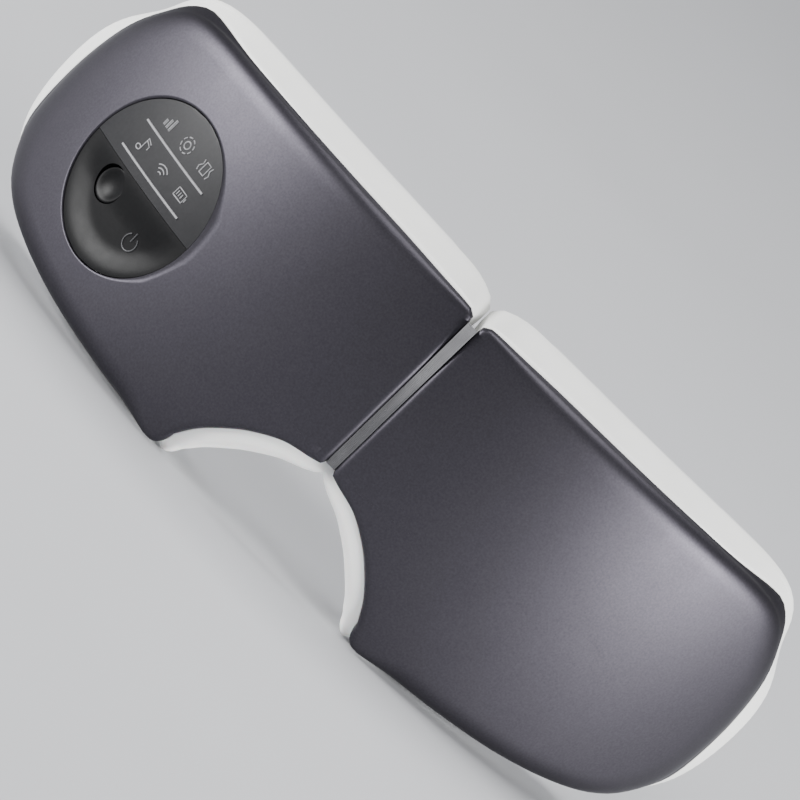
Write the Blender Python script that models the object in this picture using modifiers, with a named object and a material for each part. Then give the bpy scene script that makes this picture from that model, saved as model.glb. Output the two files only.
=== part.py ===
"""Folding eye massager mask: two pods joined by a hinge behind the nose bridge.

The mask stands upright as it is worn. +Z is up, the front faces -Y, and X runs from the
control-panel half (-X) to the other half (+X). Sizes are in millimetres and are turned to
metres when a mesh is made.
"""
import math

import bmesh
import bpy
from mathutils import Matrix, Vector

MM = 0.001

# Driving dimensions
BASE_Z = 48.8            # height of the drawing's datum line above the lowest edge
DEPTH_MID = 34.04         # front apex to the middle of the overall depth
FRONT_RADIUS = 130.0     # wrap of the front covers round the head, seen from above
REAR_RADIUS = 145.0      # wrap of the casing's rear edge
POD_DEPTH = 19.0         # front apex to the casing's rear edge at the fold
CROWN = 3.0              # how far the cover falls back at its top and bottom edges
MID_Z = -11.5            # height of the pods' centre line
HALF_HEIGHT = 38.0
COVER_WALL = 1.8
CASING_WALL = 1.45
GAP = 0.3
FLARE_TOP = 4.6
FLARE_END = 3.0
FLARE_BOTTOM = 0.4
FLARE_FOLD = 0.6
FOLD_ROLL_END = 28.0       # where the rolled edge reaches its full radius, from the fold
PANEL_X = 73.0
PANEL_Z = -13.5
PANEL_HALF_WIDTH = 20.6
PANEL_HALF_HEIGHT = 21.4
PANEL_SQUASH = math.cos(math.asin(PANEL_X / FRONT_RADIUS))
PANEL_SIDES = 30
CREASE_RISE = -0.2         # height of the panel's crease above its centre
EYE_X = 55.0
EYE_Z = -10.0
EYE_HALF_WIDTH = 29.0
EYE_HALF_HEIGHT = 20.0
LEAST_WHITE = 4.4        # least depth of casing left behind the cover's rim
CUSHION_RISE = 7.5
HINGE_Y = POD_DEPTH + 2.6
PIN_RADIUS = 1.0
KNUCKLE_RADIUS = 2.1
BUTTON_RADIUS = 4.4
BUTTON_X = PANEL_X + 6.5
BUTTON_Z = PANEL_Z - 5.6
BUTTON_TURN = math.asin(BUTTON_X / FRONT_RADIUS)
SWITCH_DEPTH = 5.75
BOARD_DEPTH = 7.85
INLET_X = 60.0
TUBE_POINTS = ((50.5, 19.6, 16.2), (53, 20.8, 16.4), (56, 22.0, 16.4), (58.4, 23.2, 16.2))
LEFT_KNUCKLES = ((-17, -10.3), (-3.3, 3.3), (10.3, 17))
RIGHT_KNUCKLES = ((-10, -3.6), (3.6, 10))
TOP_RUN = [(1.4, 21.5), (1.6, 23.4), (3.2, 24.5), (12, 24.6), (30, 24.5), (53, 23.8), (73, 22.7), (86, 21.2),
           (93.5, 18.2), (98.4, 12), (102.3, 2), (104, -12), (102.8, -27), (98.8, -35.6), (93, -40.6),
           (84, -43.7), (71, -45.9), (54, -47.2), (40, -47.8), (34, -48.4)]
TIP_RUN = [(34, -48.4), (31.4, -48.1), (29.6, -46.2), (29.0, -43.2)]
ARCH_RUN = [(29.0, -43.2), (26.2, -38.2), (22, -33.4), (17.4, -29.4), (11, -25.6), (4.2, -23.7), (1.9, -22.9)]
FOLD_RUN = [(1.9, -22.9), (1.4, -21.6), (1.4, 0), (1.4, 21.5)]
OVAL_SIDES = 24
RUN_COUNTS = (30, 3, 9, 5)

COLOURS = {
    "gunmetal": ((0.055, 0.053, 0.062, 1), 0.25, 0.0),
    "white": ((0.78, 0.78, 0.78, 1), 0.35, 0.0),
    "soft_white": ((0.8, 0.8, 0.79, 1), 0.6, 0.0),
    "cushion": ((0.62, 0.62, 0.63, 1), 0.7, 0.0),
    "black": ((0.01, 0.01, 0.011, 1), 0.3, 0.0),
    "grey": ((0.2, 0.2, 0.21, 1), 0.55, 0.0),
    "steel": ((0.6, 0.6, 0.6, 1), 0.3, 1.0),
    "board": ((0.02, 0.18, 0.07, 1), 0.5, 0.0),
    "amber": ((0.55, 0.25, 0.05, 1), 0.5, 0.0),
    "blue": ((0.05, 0.15, 0.4, 1), 0.4, 0.0),
}


def clear_scene():
    for obj in list(bpy.data.objects):
        bpy.data.objects.remove(obj)


def new_collection(name):
    made = bpy.data.collections.new(name)
    bpy.context.scene.collection.children.link(made)
    return made


clear_scene()
PARTS = new_collection("eye_massager_mask")
CUTTERS = new_collection("cutters")


def material(key):
    """The Principled material of a finish, made once."""
    found = bpy.data.materials.get(key)
    if found:
        return found
    colour, roughness, metallic = COLOURS[key]
    made = bpy.data.materials.new(key)
    made.use_nodes = True
    shader = made.node_tree.nodes["Principled BSDF"]
    shader.inputs["Base Color"].default_value = colour
    shader.inputs["Roughness"].default_value = roughness
    shader.inputs["Metallic"].default_value = metallic
    return made


def front_y(x, z):
    """Depth of the front covers' outer face."""
    return (FRONT_RADIUS - math.sqrt(FRONT_RADIUS ** 2 - x * x)
            + CROWN * ((z - MID_Z) / HALF_HEIGHT) ** 2)


def rear_y(x):
    """Depth of the casing's rear edge."""
    return POD_DEPTH + REAR_RADIUS - math.sqrt(REAR_RADIUS ** 2 - x * x)


def spline(points, count):
    """Points at even spacing along a Catmull-Rom curve, without its last point."""
    fine = []
    for i in range(len(points) - 1):
        a, b, c, d = (Vector(points[max(0, min(len(points) - 1, k))]) for k in (i - 1, i, i + 1, i + 2))
        for step in range(24):
            t = step / 24
            fine.append(0.5 * (2 * b + (c - a) * t + (2 * a - 5 * b + 4 * c - d) * t * t
                               + (3 * b - a - 3 * c + d) * t ** 3))
    fine.append(Vector(points[-1]))
    lengths = [0.0]
    for p, q in zip(fine, fine[1:]):
        lengths.append(lengths[-1] + (q - p).length)
    picked = []
    k = 0
    for i in range(count):
        target = lengths[-1] * i / count
        while lengths[k + 1] < target:
            k += 1
        share = (target - lengths[k]) / (lengths[k + 1] - lengths[k])
        picked.append(fine[k].lerp(fine[k + 1], share))
    return picked


def half_outline():
    """The pod's outline seen from the front, clockwise from the top of the fold edge."""
    points = []
    for run, count in zip((TOP_RUN, TIP_RUN, ARCH_RUN, FOLD_RUN), RUN_COUNTS):
        points += spline(run, count)
    return points


OUTLINE = half_outline()
COUNT = len(OUTLINE)
ARCH_FIRST = RUN_COUNTS[0] + RUN_COUNTS[1]
ARCH_LAST = ARCH_FIRST + RUN_COUNTS[2]


def normals_of(points):
    """Unit vectors in the drawing plane that point out of a clockwise outline."""
    found = []
    for i, _ in enumerate(points):
        along = points[(i + 1) % len(points)] - points[i - 1]
        found.append(Vector((-along.y, along.x)).normalized())
    return found


NORMALS = normals_of(OUTLINE)


def smooth(value, low, high):
    t = max(0.0, min(1.0, (value - low) / (high - low)))
    return t * t * (3 - 2 * t)


def near_fold(i):
    return 1 - smooth(OUTLINE[i].x, 1.5, 9)


def in_arch(i):
    """1 along the nose arch, 0 along the other edges."""
    p = OUTLINE[i]
    return (1 - smooth(p.x, 28, 34)) * (1 - smooth(p.y, -24, -21))


def roll_of(i):
    """Radius of the cover's rolled edge."""
    plain = 5.0 - 3.2 * max(in_arch(i), 1 - smooth(OUTLINE[i].x, 1.5, FOLD_ROLL_END))
    tip = (OUTLINE[i] - Vector((31, -47))).length
    return plain - (plain - 1.8) * (1 - smooth(tip, 3, 14))


def flare_of(i):
    """How far the side wall spreads on its way to the rear edge."""
    n = NORMALS[i]
    if OUTLINE[i].x < 1.7 and abs(n.y) < 0.6:
        return FLARE_FOLD
    up = max(0.0, n.y) * (1 - near_fold(i) * 0.35)
    corner = math.exp(-(((OUTLINE[i] - Vector((99, 11))).length / 9) ** 2))
    return ((FLARE_TOP * up + FLARE_END * max(0.0, n.x) ** 2 * (1 - up)) * (1 - 0.95 * corner)
            + FLARE_BOTTOM * max(0.0, -n.y))


def wall_length(i):
    return rear_y(OUTLINE[i].x) - roll_end_y(i)


def wall_share_of(i):
    """How far down the side wall the dark cover reaches, from 0 to 1."""
    p = OUTLINE[i]
    upper = math.exp(-(((p - Vector((96, 16))).length / 11) ** 2))
    lower = math.exp(-(((p - Vector((96, -38))).length / 15) ** 2))
    bottom = smooth(-p.y, 30, 44) * smooth(p.x, 34, 46) * 0.1
    most = 1 - LEAST_WHITE / wall_length(i)
    return min(most, 0.06 + 0.56 * max(upper, lower) + bottom)


def rim_gap(i):
    """Half the joint between cover and casing as a share of the wall, wider where the rim runs steeply."""
    wall = wall_length(i)
    step = (OUTLINE[(i + 1) % COUNT] - OUTLINE[i - 1]).length
    slope = abs(wall_share_of((i + 1) % COUNT) - wall_share_of(i - 1)) * wall / step
    return (0.27 + 0.4 * slope) / wall


def wall_point(i, share, inset=0.0):
    """A point on the side wall: share 0 is the end of the rolled edge, 1 is the rear edge."""
    p, n = OUTLINE[i], NORMALS[i]
    start = roll_end_y(i)
    out = flare_of(i) * share - inset
    spot = p + n * out
    return Vector((spot.x, start + (rear_y(p.x) - start) * share, spot.y))


def roll_start(i):
    spot = OUTLINE[i] - NORMALS[i] * roll_of(i)
    return Vector((spot.x, front_y(spot.x, spot.y), spot.y))


def roll_corner(i):
    """Where the front face and the side wall would meet without the rolled edge."""
    start, n, r = roll_start(i), NORMALS[i], roll_of(i)
    reach = 0.5
    slope = (front_y(start.x + n.x * reach, start.z + n.y * reach) - start.y) / reach
    return Vector((OUTLINE[i].x, start.y + slope * r, OUTLINE[i].y))


def roll_end_y(i):
    return roll_corner(i).y + roll_of(i) * 0.8


def roll_point(i, t):
    """A point on the rolled edge, from 0 on the front face to 1 on the side wall."""
    a, b = roll_start(i), roll_corner(i)
    c = Vector((OUTLINE[i].x, roll_end_y(i), OUTLINE[i].y))
    return a * (1 - t) ** 2 + b * (2 * t * (1 - t)) + c * t * t


def panel_edge(i, scale=1.0):
    """The point of the panel's oval seen from its centre towards an outline point."""
    to = OUTLINE[i] - Vector((PANEL_X, PANEL_Z))
    squash = math.cos(math.asin(PANEL_X / FRONT_RADIUS))
    wide, high = PANEL_HALF_WIDTH * squash * scale, PANEL_HALF_HEIGHT * scale
    r = 1 / math.sqrt((to.x / wide) ** 2 + (to.y / high) ** 2)
    return Vector((PANEL_X, PANEL_Z)) + to * r


def eye_edge(i, scale=1.0):
    """The point of the eye window's oval seen from its centre towards an outline point."""
    to = OUTLINE[i] - Vector((EYE_X, EYE_Z))
    r = scale / math.sqrt((to.x / EYE_HALF_WIDTH) ** 2 + (to.y / EYE_HALF_HEIGHT) ** 2)
    return Vector((EYE_X, EYE_Z)) + to * r


def placed(point, side):
    """Drawing millimetres to metres in the object's frame."""
    return Vector((point.x * side, point.y - DEPTH_MID, point.z + BASE_Z)) * MM


def add_object(name, mesh, finish):
    mesh.materials.append(material(finish))
    obj = bpy.data.objects.new(name, mesh)
    PARTS.objects.link(obj)
    mesh.shade_smooth()
    mesh.set_sharp_from_angle(angle=math.radians(38))
    return obj


def loft(name, rings, side, finish, cap_first=False, cap_last=False, closed=True, tube=False):
    """A skin through rings of points; caps close its ends and tube joins the last ring to the first."""
    bm = bmesh.new()
    rows = [[bm.verts.new(placed(p, side)) for p in ring] for ring in rings]
    pairs = list(zip(rows, rows[1:]))
    if tube:
        pairs.append((rows[-1], rows[0]))
    for low, high in pairs:
        steps = range(len(low)) if closed else range(len(low) - 1)
        for i in steps:
            j = (i + 1) % len(low)
            bm.faces.new((low[i], low[j], high[j], high[i]))
    for wanted, row in ((cap_first, rows[0]), (cap_last, rows[-1])):
        if wanted:
            bm.faces.new(row)
    bmesh.ops.recalc_face_normals(bm, faces=bm.faces)
    mesh = bpy.data.meshes.new(name)
    bm.to_mesh(mesh)
    bm.free()
    return add_object(name, mesh, finish)


def face_front(obj):
    """Turns an open shell so that its faces look away from the pod's inside."""
    mesh = obj.data
    total = sum(polygon.normal.y * polygon.area for polygon in mesh.polygons)
    if total > 0:
        mesh.flip_normals()


def solidify(obj, thickness):
    modifier = obj.modifiers.new("wall", "SOLIDIFY")
    modifier.thickness = thickness * MM
    modifier.offset = -1
    modifier.use_even_offset = False
    return modifier


def bevel(obj, width, segments=2):
    modifier = obj.modifiers.new("edges", "BEVEL")
    modifier.width = width * MM
    modifier.segments = segments
    modifier.limit_method = "ANGLE"


def subtract(obj, cutter):
    cutter.hide_render = True
    cutter.display_type = "WIRE"
    for owner in list(cutter.users_collection):
        owner.objects.unlink(cutter)
    CUTTERS.objects.link(cutter)
    modifier = obj.modifiers.new("cut", "BOOLEAN")
    modifier.operation = "DIFFERENCE"
    modifier.object = cutter


def tilt_of(x):
    return math.asin(x / (0.5 * (FRONT_RADIUS + REAR_RADIUS)))


def primitive(name, side, finish, at, turn=(0, 0, 0), box=None, radius=0, depth=0, segments=24, bevelled=0):
    """A box or a cylinder with its centre at a drawing point, turned by Euler angles."""
    bm = bmesh.new()
    if box:
        bmesh.ops.create_cube(bm, size=1)
        bmesh.ops.scale(bm, vec=Vector(box) * MM, verts=bm.verts)
    else:
        bmesh.ops.create_cone(bm, cap_ends=True, segments=segments, radius1=radius * MM,
                              radius2=radius * MM, depth=depth * MM)
    mesh = bpy.data.meshes.new(name)
    bm.to_mesh(mesh)
    bm.free()
    obj = add_object(name, mesh, finish)
    obj.location = placed(Vector(at), side)
    obj.rotation_euler = (turn[0], turn[1], turn[2] * side)
    if bevelled:
        bevel(obj, bevelled)
    return obj


def front_cover(side, prefix):
    """The dark outer shell: front face, rolled edge and the part of the side wall down to its rim."""
    hole = 1.0 if side < 0 else 0.06
    rings = []
    for share in (0, 0.16, 0.36, 0.56, 0.78):
        ring = []
        for i in range(COUNT):
            inner = panel_edge(i, hole)
            outer = Vector((roll_start(i).x, roll_start(i).z))
            spot = inner.lerp(outer, share)
            ring.append(Vector((spot.x, front_y(spot.x, spot.y), spot.y)))
        rings.append(ring)
    rings += [[roll_point(i, t) for i in range(COUNT)] for t in (0, 0.35, 0.7, 1)]
    rings.append([wall_point(i, wall_share_of(i) - rim_gap(i)) for i in range(COUNT)])
    obj = loft(prefix + "front_cover", rings, side, "gunmetal", cap_first=side > 0)
    face_front(obj)
    solidify(obj, COVER_WALL)
    return obj


def rear_casing(side, prefix):
    """The white tray: the rest of the side wall and the rear flange round the eye window."""
    start = [min(0.93, wall_share_of(i) + rim_gap(i)) for i in range(COUNT)]
    rings = [[wall_point(i, start[i]) for i in range(COUNT)]]
    rings.append([wall_point(i, (start[i] + 1) / 2) for i in range(COUNT)])
    rings.append([wall_point(i, 0.975) for i in range(COUNT)])
    rear = []
    for i in range(COUNT):
        edge = wall_point(i, 1, inset=0.9)
        rear.append(edge)
    rings.append(rear)
    for share in (0.4, 0.8, 1.0):
        ring = []
        for i in range(COUNT):
            spot = Vector((rear[i].x, rear[i].z)).lerp(eye_edge(i), share)
            ring.append(Vector((spot.x, rear_y(spot.x), spot.y)))
        rings.append(ring)
    obj = loft(prefix + "rear_casing", rings, side, "white")
    # The flange looks backwards, so the shell's outside is where its normals point to +Y.
    total = sum(polygon.normal.y * polygon.area for polygon in obj.data.polygons)
    if total < 0:
        obj.data.flip_normals()
    solidify(obj, CASING_WALL)
    return obj


def cushion_rise(x):
    """The cushion is low beside the hinge, so that the two halves can fold together."""
    return CUSHION_RISE * smooth(x, 5, 26) * (1 - 0.45 * smooth(x, 84, 98))


def face_cushion(side, prefix):
    """The padded ring round the eye, lying on the casing's flange."""
    outer, inner = [], []
    for i in range(COUNT):
        edge = wall_point(i, 1, inset=1.0 + 11.5 * smooth(OUTLINE[i].x, 90, 99) + 5.0 * near_fold(i))
        spot = Vector((max(edge.x, 13.0), edge.z))
        outer.append(spot)
        inner.append(eye_edge(i, 0.93))
    rings = []
    for share, height in ((0, 0.0), (0.0, 0.45), (0.09, 0.85), (0.3, 1.0), (0.6, 0.97), (0.86, 0.72),
                          (1.0, 0.35), (1.0, 0.0)):
        ring = []
        for i in range(COUNT):
            spot = outer[i].lerp(inner[i], share)
            rise = cushion_rise(spot.x) + 1.2
            ring.append(Vector((spot.x, rear_y(spot.x) + GAP + rise * height, spot.y)))
        rings.append(ring)
    return loft(prefix + "face_cushion", rings, side, "cushion", tube=True)


def oval_sheet(name, side, finish, scale, low, high, dome):
    """A sheet inside the eye window between two depths, domed towards the eye."""
    def ring(share, depth):
        points = []
        for k in range(OVAL_SIDES):
            angle = 2 * math.pi * k / OVAL_SIDES
            x = EYE_X + EYE_HALF_WIDTH * scale * share * math.cos(angle)
            z = EYE_Z + EYE_HALF_HEIGHT * scale * share * math.sin(angle)
            points.append(Vector((x, rear_y(x) + depth + dome * (1 - share * share), z)))
        return points
    rings = [ring(0.4, low), ring(1, low), ring(1, high), ring(0.6, high), ring(0.2, high)]
    return loft(name, rings, side, finish, cap_first=True, cap_last=True)


def nose_rim(side, prefix):
    """The soft white lip that follows one side of the nose arch."""
    rings = []
    first, last = ARCH_FIRST - 1, ARCH_LAST - 1
    for i in range(first, last + 1):
        travel = (i - first) / (last - first)
        fade = math.sin(math.pi * min(1, 0.08 + 0.84 * travel)) ** 0.35
        share = wall_share_of(i) + 0.03
        base = wall_point(i, share, inset=-GAP)
        p, n = OUTLINE[i], NORMALS[i]
        deep = 9.0
        ring = []
        for k in range(9):
            angle = math.pi * k / 8
            out = GAP + 4.3 * fade * math.sin(angle)
            back = deep * (0.5 - 0.5 * fade * math.cos(angle))
            spot = p + n * out
            ring.append(Vector((spot.x, base.y + back, spot.y)))
        rings.append(ring)
    obj = loft(prefix + "nose_rim", rings, side, "soft_white", cap_first=True, cap_last=True)
    return obj


def strap_anchor(side, prefix):
    """The slotted loop behind the outer end that a head strap threads through."""
    x = 99.5
    turn = math.radians(62)
    at = (x, rear_y(x) + 3.9, MID_Z)
    obj = primitive(prefix + "strap_anchor", side, "white", at, (0, 0, turn), box=(12.0, 2.4, 30.0),
                    bevelled=0.7)
    slot = primitive(prefix + "strap_slot_cutter", side, "white", (x + 1.1, rear_y(x) + 6.0, MID_Z),
                     (0, 0, turn), box=(4.8, 8.0, 22.0))
    subtract(obj, slot)
    return obj


def hinge_leaf(side, prefix, spans):
    """A moulded leaf with its knuckles on the fold axis, bored for the pin."""
    bm = bmesh.new()
    plate = bmesh.ops.create_cube(bm, size=1)["verts"]
    bmesh.ops.scale(bm, vec=Vector((9.4, 1.2, 34.0)) * MM, verts=plate)
    bmesh.ops.translate(bm, vec=Vector((6.9, -1.45, 0)) * MM, verts=plate)
    mesh = bpy.data.meshes.new(prefix + "hinge_leaf")
    bm.to_mesh(mesh)
    bm.free()
    obj = add_object(prefix + "hinge_leaf", mesh, "grey")
    obj.location = placed(Vector((0, HINGE_Y, 0)), side)
    if side < 0:
        for vertex in mesh.vertices:
            vertex.co.x = -vertex.co.x
        mesh.flip_normals()
    for number, (low, high) in enumerate(spans):
        knuckle = primitive(f"{prefix}knuckle_{number}", side, "grey", (0, HINGE_Y, (low + high) / 2),
                            radius=KNUCKLE_RADIUS, depth=high - low)
        web = primitive(f"{prefix}web_{number}", side, "grey", (1.9, HINGE_Y - 1.25, (low + high) / 2),
                        box=(3.6, 1.55, high - low - 0.02))
        for extra in (knuckle, web):
            join = obj.modifiers.new("join", "BOOLEAN")
            join.operation = "UNION"
            join.object = extra
            extra.hide_render = True
            extra.display_type = "WIRE"
            PARTS.objects.unlink(extra)
            CUTTERS.objects.link(extra)
    bore = primitive(prefix + "pin_bore", side, "grey", (0, HINGE_Y, 0), radius=PIN_RADIUS + 0.25, depth=60)
    subtract(obj, bore)
    return obj


def turned(name, side, finish, profile, at, turn, sides=20):
    """A turned piece: radius and height pairs, with the heights along -Y of its own frame."""
    bm = bmesh.new()
    rows = []
    for radius, height in profile:
        count = 1 if radius == 0 else sides
        row = []
        for k in range(count):
            angle = 2 * math.pi * k / sides
            spot = Vector((radius * math.cos(angle), -height, radius * math.sin(angle)))
            row.append(bm.verts.new(spot * MM))
        rows.append(row)
    for low, high in zip(rows, rows[1:]):
        for k in range(sides):
            j = (k + 1) % sides
            corners = (low[k % len(low)], low[j % len(low)], high[j % len(high)], high[k % len(high)])
            bm.faces.new(list(dict.fromkeys(corners)))
    bmesh.ops.recalc_face_normals(bm, faces=bm.faces)
    mesh = bpy.data.meshes.new(name)
    bm.to_mesh(mesh)
    bm.free()
    obj = add_object(name, mesh, finish)
    obj.location = placed(Vector(at), side)
    obj.rotation_euler = (0, 0, turn * side)
    return obj


SCREW_PROFILE = [(0, 0.9), (1.2, 0.9), (1.6, 0.5), (1.6, 0.0), (0.75, 0.0), (0.75, -2.6), (0, -3.0)]
SCREW_HOLE = 1.1


def panel_depth(x, z):
    """How far the panel's face lies behind the cover's: a step for the icon window, then a dish."""
    crease = PANEL_Z + CREASE_RISE
    if z > crease:
        return 1.25
    fall = smooth(crease - z, 0, 9)
    rim = smooth(math.hypot((x - PANEL_X) / 0.83, z - PANEL_Z), 14, 20.5)
    return 0.35 + 1.1 * fall * (1 - rim)


def panel_disc(name, finish, front, back, upper_only=False):
    """A round plate that follows the cover's curve between two depths behind its face."""
    crease = PANEL_Z + CREASE_RISE

    def ring(scale, depth_of):
        points = []
        for k in range(PANEL_SIDES):
            angle = 2 * math.pi * (k + 0.5) / PANEL_SIDES
            x = PANEL_X + PANEL_HALF_WIDTH * PANEL_SQUASH * scale * math.cos(angle)
            z = PANEL_Z + PANEL_HALF_HEIGHT * scale * math.sin(angle)
            if upper_only:
                z = max(z, crease + 1.9 + 1.2 * (1 - scale))
            points.append(behind_cover(x, z, depth_of(x, z)))
        return points
    rim = 1 - 0.3 / PANEL_HALF_WIDTH
    shares = [0.15, 0.4, 0.62, 0.84, rim]
    rings = [ring(share, front) for share in shares]
    rings += [ring(share, back) for share in reversed(shares)]
    return loft(name, rings, -1, finish, cap_first=True, cap_last=True)


def behind_cover(x, z, depth):
    """A point at a depth behind the cover's face, measured square to it."""
    turn = math.asin(x / FRONT_RADIUS)
    return Vector((x - depth * math.sin(turn), front_y(x, z) + depth * math.cos(turn), z))


def control_parts():
    """The round panel, its icon window, the sunk power button and the board behind them."""
    panel = panel_disc("control_panel", "black", panel_depth, lambda x, z: 3.2)
    at = behind_cover(BUTTON_X, BUTTON_Z, 2.0)
    bore = primitive("button_bore", -1, "black", at, (0, 0, 0), radius=BUTTON_RADIUS + GAP, depth=12)
    bore.matrix_world = (Matrix.Translation(placed(at, -1)) @ Matrix.Rotation(-BUTTON_TURN, 4, "Z")
                         @ Matrix.Rotation(math.radians(90), 4, "X"))
    subtract(panel, bore)
    panel_disc("icon_window", "grey", lambda x, z: 0.3, lambda x, z: 0.95, upper_only=True)
    cap = [(0, 0.0), (2.2, 0.25), (3.7, 0.85), (BUTTON_RADIUS - 0.3, 1.0), (BUTTON_RADIUS, 0.7),
           (BUTTON_RADIUS, -1.5), (1.6, -1.5), (1.6, -1.9), (0, -1.9)]
    turned("power_button", -1, "black", cap, behind_cover(BUTTON_X, BUTTON_Z, 2.6), BUTTON_TURN, sides=28)
    board_turn = math.asin((PANEL_X - 4) / FRONT_RADIUS)
    switch = behind_cover(BUTTON_X, BUTTON_Z, SWITCH_DEPTH)
    primitive("power_switch", -1, "black", switch, (0, 0, BUTTON_TURN), box=(4.0, 1.0, 4.0))
    primitive("main_board", -1, "board", behind_cover(PANEL_X - 3, PANEL_Z, BOARD_DEPTH), (0, 0, board_turn),
              box=(30, 1.0, 26))


def charging_parts(casing):
    """The charging socket in the bottom wall and its small board."""
    x, y = 60.0, rear_y(60.0) - 4.7
    turn = tilt_of(x)
    opening = primitive("port_opening", -1, "steel", (x, y, -47), (0, 0, turn), box=(9.5, 3.8, 8))
    subtract(casing, opening)
    port = primitive("charging_port", -1, "steel", (x, y, -43.6), (0, 0, turn), box=(8.9, 3.2, 7.0))
    cavity = primitive("port_cavity", -1, "steel", (x, y, -44.8), (0, 0, turn), box=(8.2, 2.5, 7.0))
    subtract(port, cavity)
    primitive("charging_board", -1, "board", (x, y, -38.9), (0, 0, turn), box=(14, 4.6, 1.2))


def pod(side, prefix, spans):
    """Everything that both halves have."""
    front_cover(side, prefix)
    casing = rear_casing(side, prefix)
    face_cushion(side, prefix)
    oval_sheet(prefix + "massage_pad", side, "cushion", 0.91, -0.3, 1.7, 1.6)
    oval_sheet(prefix + "heating_film", side, "amber", 0.9, -1.0, -0.65, 1.2)
    oval_sheet(prefix + "airbag", side, "blue", 0.93, -4.6, -1.6, 0.9)
    oval_sheet(prefix + "inner_frame", side, "grey", 1.06, -6.3, -5.0, 0)
    nose_rim(side, prefix)
    strap_anchor(side, prefix)
    leaf = hinge_leaf(side, prefix, spans)
    speaker = [(0, 1.7), (5.6, 1.7), (6, 1.3), (6, -1.7), (0, -1.7)]
    turned(prefix + "speaker", side, "black", speaker, (91, 45.5, MID_Z + 1), tilt_of(91))
    motor = [(0, 1.4), (4, 1.4), (4, -1.4), (0, -1.4)]
    turned(prefix + "vibration_motor", side, "steel", motor, (15, 11, 6), tilt_of(15))
    for word, z in (("upper", 12.5), ("lower", -12.5)):
        at = (8.2, HINGE_Y - 0.7, z)
        turned(f"{prefix}hinge_screw_{word}", side, "steel", SCREW_PROFILE, at, math.pi, sides=16)
        for owner, label in ((casing, "casing"), (leaf, "leaf")):
            hole = primitive(f"{prefix}screw_hole_{word}_{label}", side, "steel", (8.2, HINGE_Y - 2, z),
                             radius=SCREW_HOLE, depth=7)
            hole.rotation_euler = (math.radians(90), 0, 0)
            subtract(owner, hole)
    return casing


def centre_parts():
    """The hinge pin and the flexible strip that fills the fold gap."""
    primitive("hinge_pin", 1, "steel", (0, HINGE_Y, 0), radius=PIN_RADIUS, depth=36)
    rings = []
    for z in (-21.5, 22.3):
        rings.append([Vector(p) for p in ((-1.1, 1.2, z), (1.1, 1.2, z), (0.2, POD_DEPTH - 1.6, z),
                                          (-0.2, POD_DEPTH - 1.6, z))])
    loft("fold_strip", rings, 1, "grey", cap_first=True, cap_last=True)


def power_parts():
    """The cell, pump and valve in the half opposite the controls."""
    cell = primitive("battery", 1, "blue", (57, 24.0, -37.6), radius=4.2, depth=34)
    cell.rotation_euler = (0, math.radians(90), tilt_of(58))
    pump = primitive("air_pump", 1, "black", (40, 16.2, 16.2), radius=4.0, depth=20)
    pump.rotation_euler = (0, math.radians(90), tilt_of(40))
    primitive("air_valve", 1, "white", (63, 25.6, 16.2), (0, 0, tilt_of(63)), box=(8, 7, 7))
    curve = bpy.data.curves.new("air_tube", "CURVE")
    curve.dimensions = "3D"
    curve.bevel_depth = 1.2 * MM
    curve.bevel_resolution = 2
    curve.use_fill_caps = True
    line = curve.splines.new("POLY")
    line.points.add(3)
    for point, (x, y, z) in zip(line.points, TUBE_POINTS):
        point.co = (*placed(Vector((x, y, z)), 1), 1)
    curve.materials.append(material("soft_white"))
    PARTS.objects.link(bpy.data.objects.new("air_tube", curve))


def air_inlet(casing):
    """The slot in the bottom wall through which the pump draws air."""
    x, y = INLET_X, rear_y(INLET_X) - 4.7
    slot = primitive("inlet_opening", 1, "steel", (x, y, -47), (0, 0, tilt_of(x)), box=(9.5, 2.0, 8))
    subtract(casing, slot)


def main():
    left_casing = pod(-1, "left_", LEFT_KNUCKLES)
    right_casing = pod(1, "right_", RIGHT_KNUCKLES)
    air_inlet(right_casing)
    centre_parts()
    control_parts()
    charging_parts(left_casing)
    power_parts()


main()
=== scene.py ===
"""Finish pass for a folding eye massager mask, laid out as a Blender add-on."""
import math

import bmesh
import bpy
from mathutils import Matrix, Vector


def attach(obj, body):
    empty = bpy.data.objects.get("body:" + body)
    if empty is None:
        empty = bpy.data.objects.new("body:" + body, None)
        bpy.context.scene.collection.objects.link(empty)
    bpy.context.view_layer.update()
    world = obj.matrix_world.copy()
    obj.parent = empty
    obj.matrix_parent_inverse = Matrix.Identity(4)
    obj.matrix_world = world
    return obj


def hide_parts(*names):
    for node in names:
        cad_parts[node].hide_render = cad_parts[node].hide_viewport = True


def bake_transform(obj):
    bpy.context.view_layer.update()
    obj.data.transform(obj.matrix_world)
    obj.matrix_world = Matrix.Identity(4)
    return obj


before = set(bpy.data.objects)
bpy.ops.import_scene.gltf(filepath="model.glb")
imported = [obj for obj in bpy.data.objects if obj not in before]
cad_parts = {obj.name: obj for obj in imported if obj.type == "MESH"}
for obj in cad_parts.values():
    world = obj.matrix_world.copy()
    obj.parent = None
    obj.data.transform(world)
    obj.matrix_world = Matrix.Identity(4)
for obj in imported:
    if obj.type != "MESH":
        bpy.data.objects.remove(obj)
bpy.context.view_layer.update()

bl_info = {
    "name": "Eye Massager Mask",
    "version": (1, 0, 0),
    "blender": (4, 5, 0),
    "location": "View3D > Sidebar > Eye Mask",
    "description": "Builds the covers, casings, cushions and controls of a folding eye massager mask",
    "category": "Mesh",
}

MM = 0.001

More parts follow.
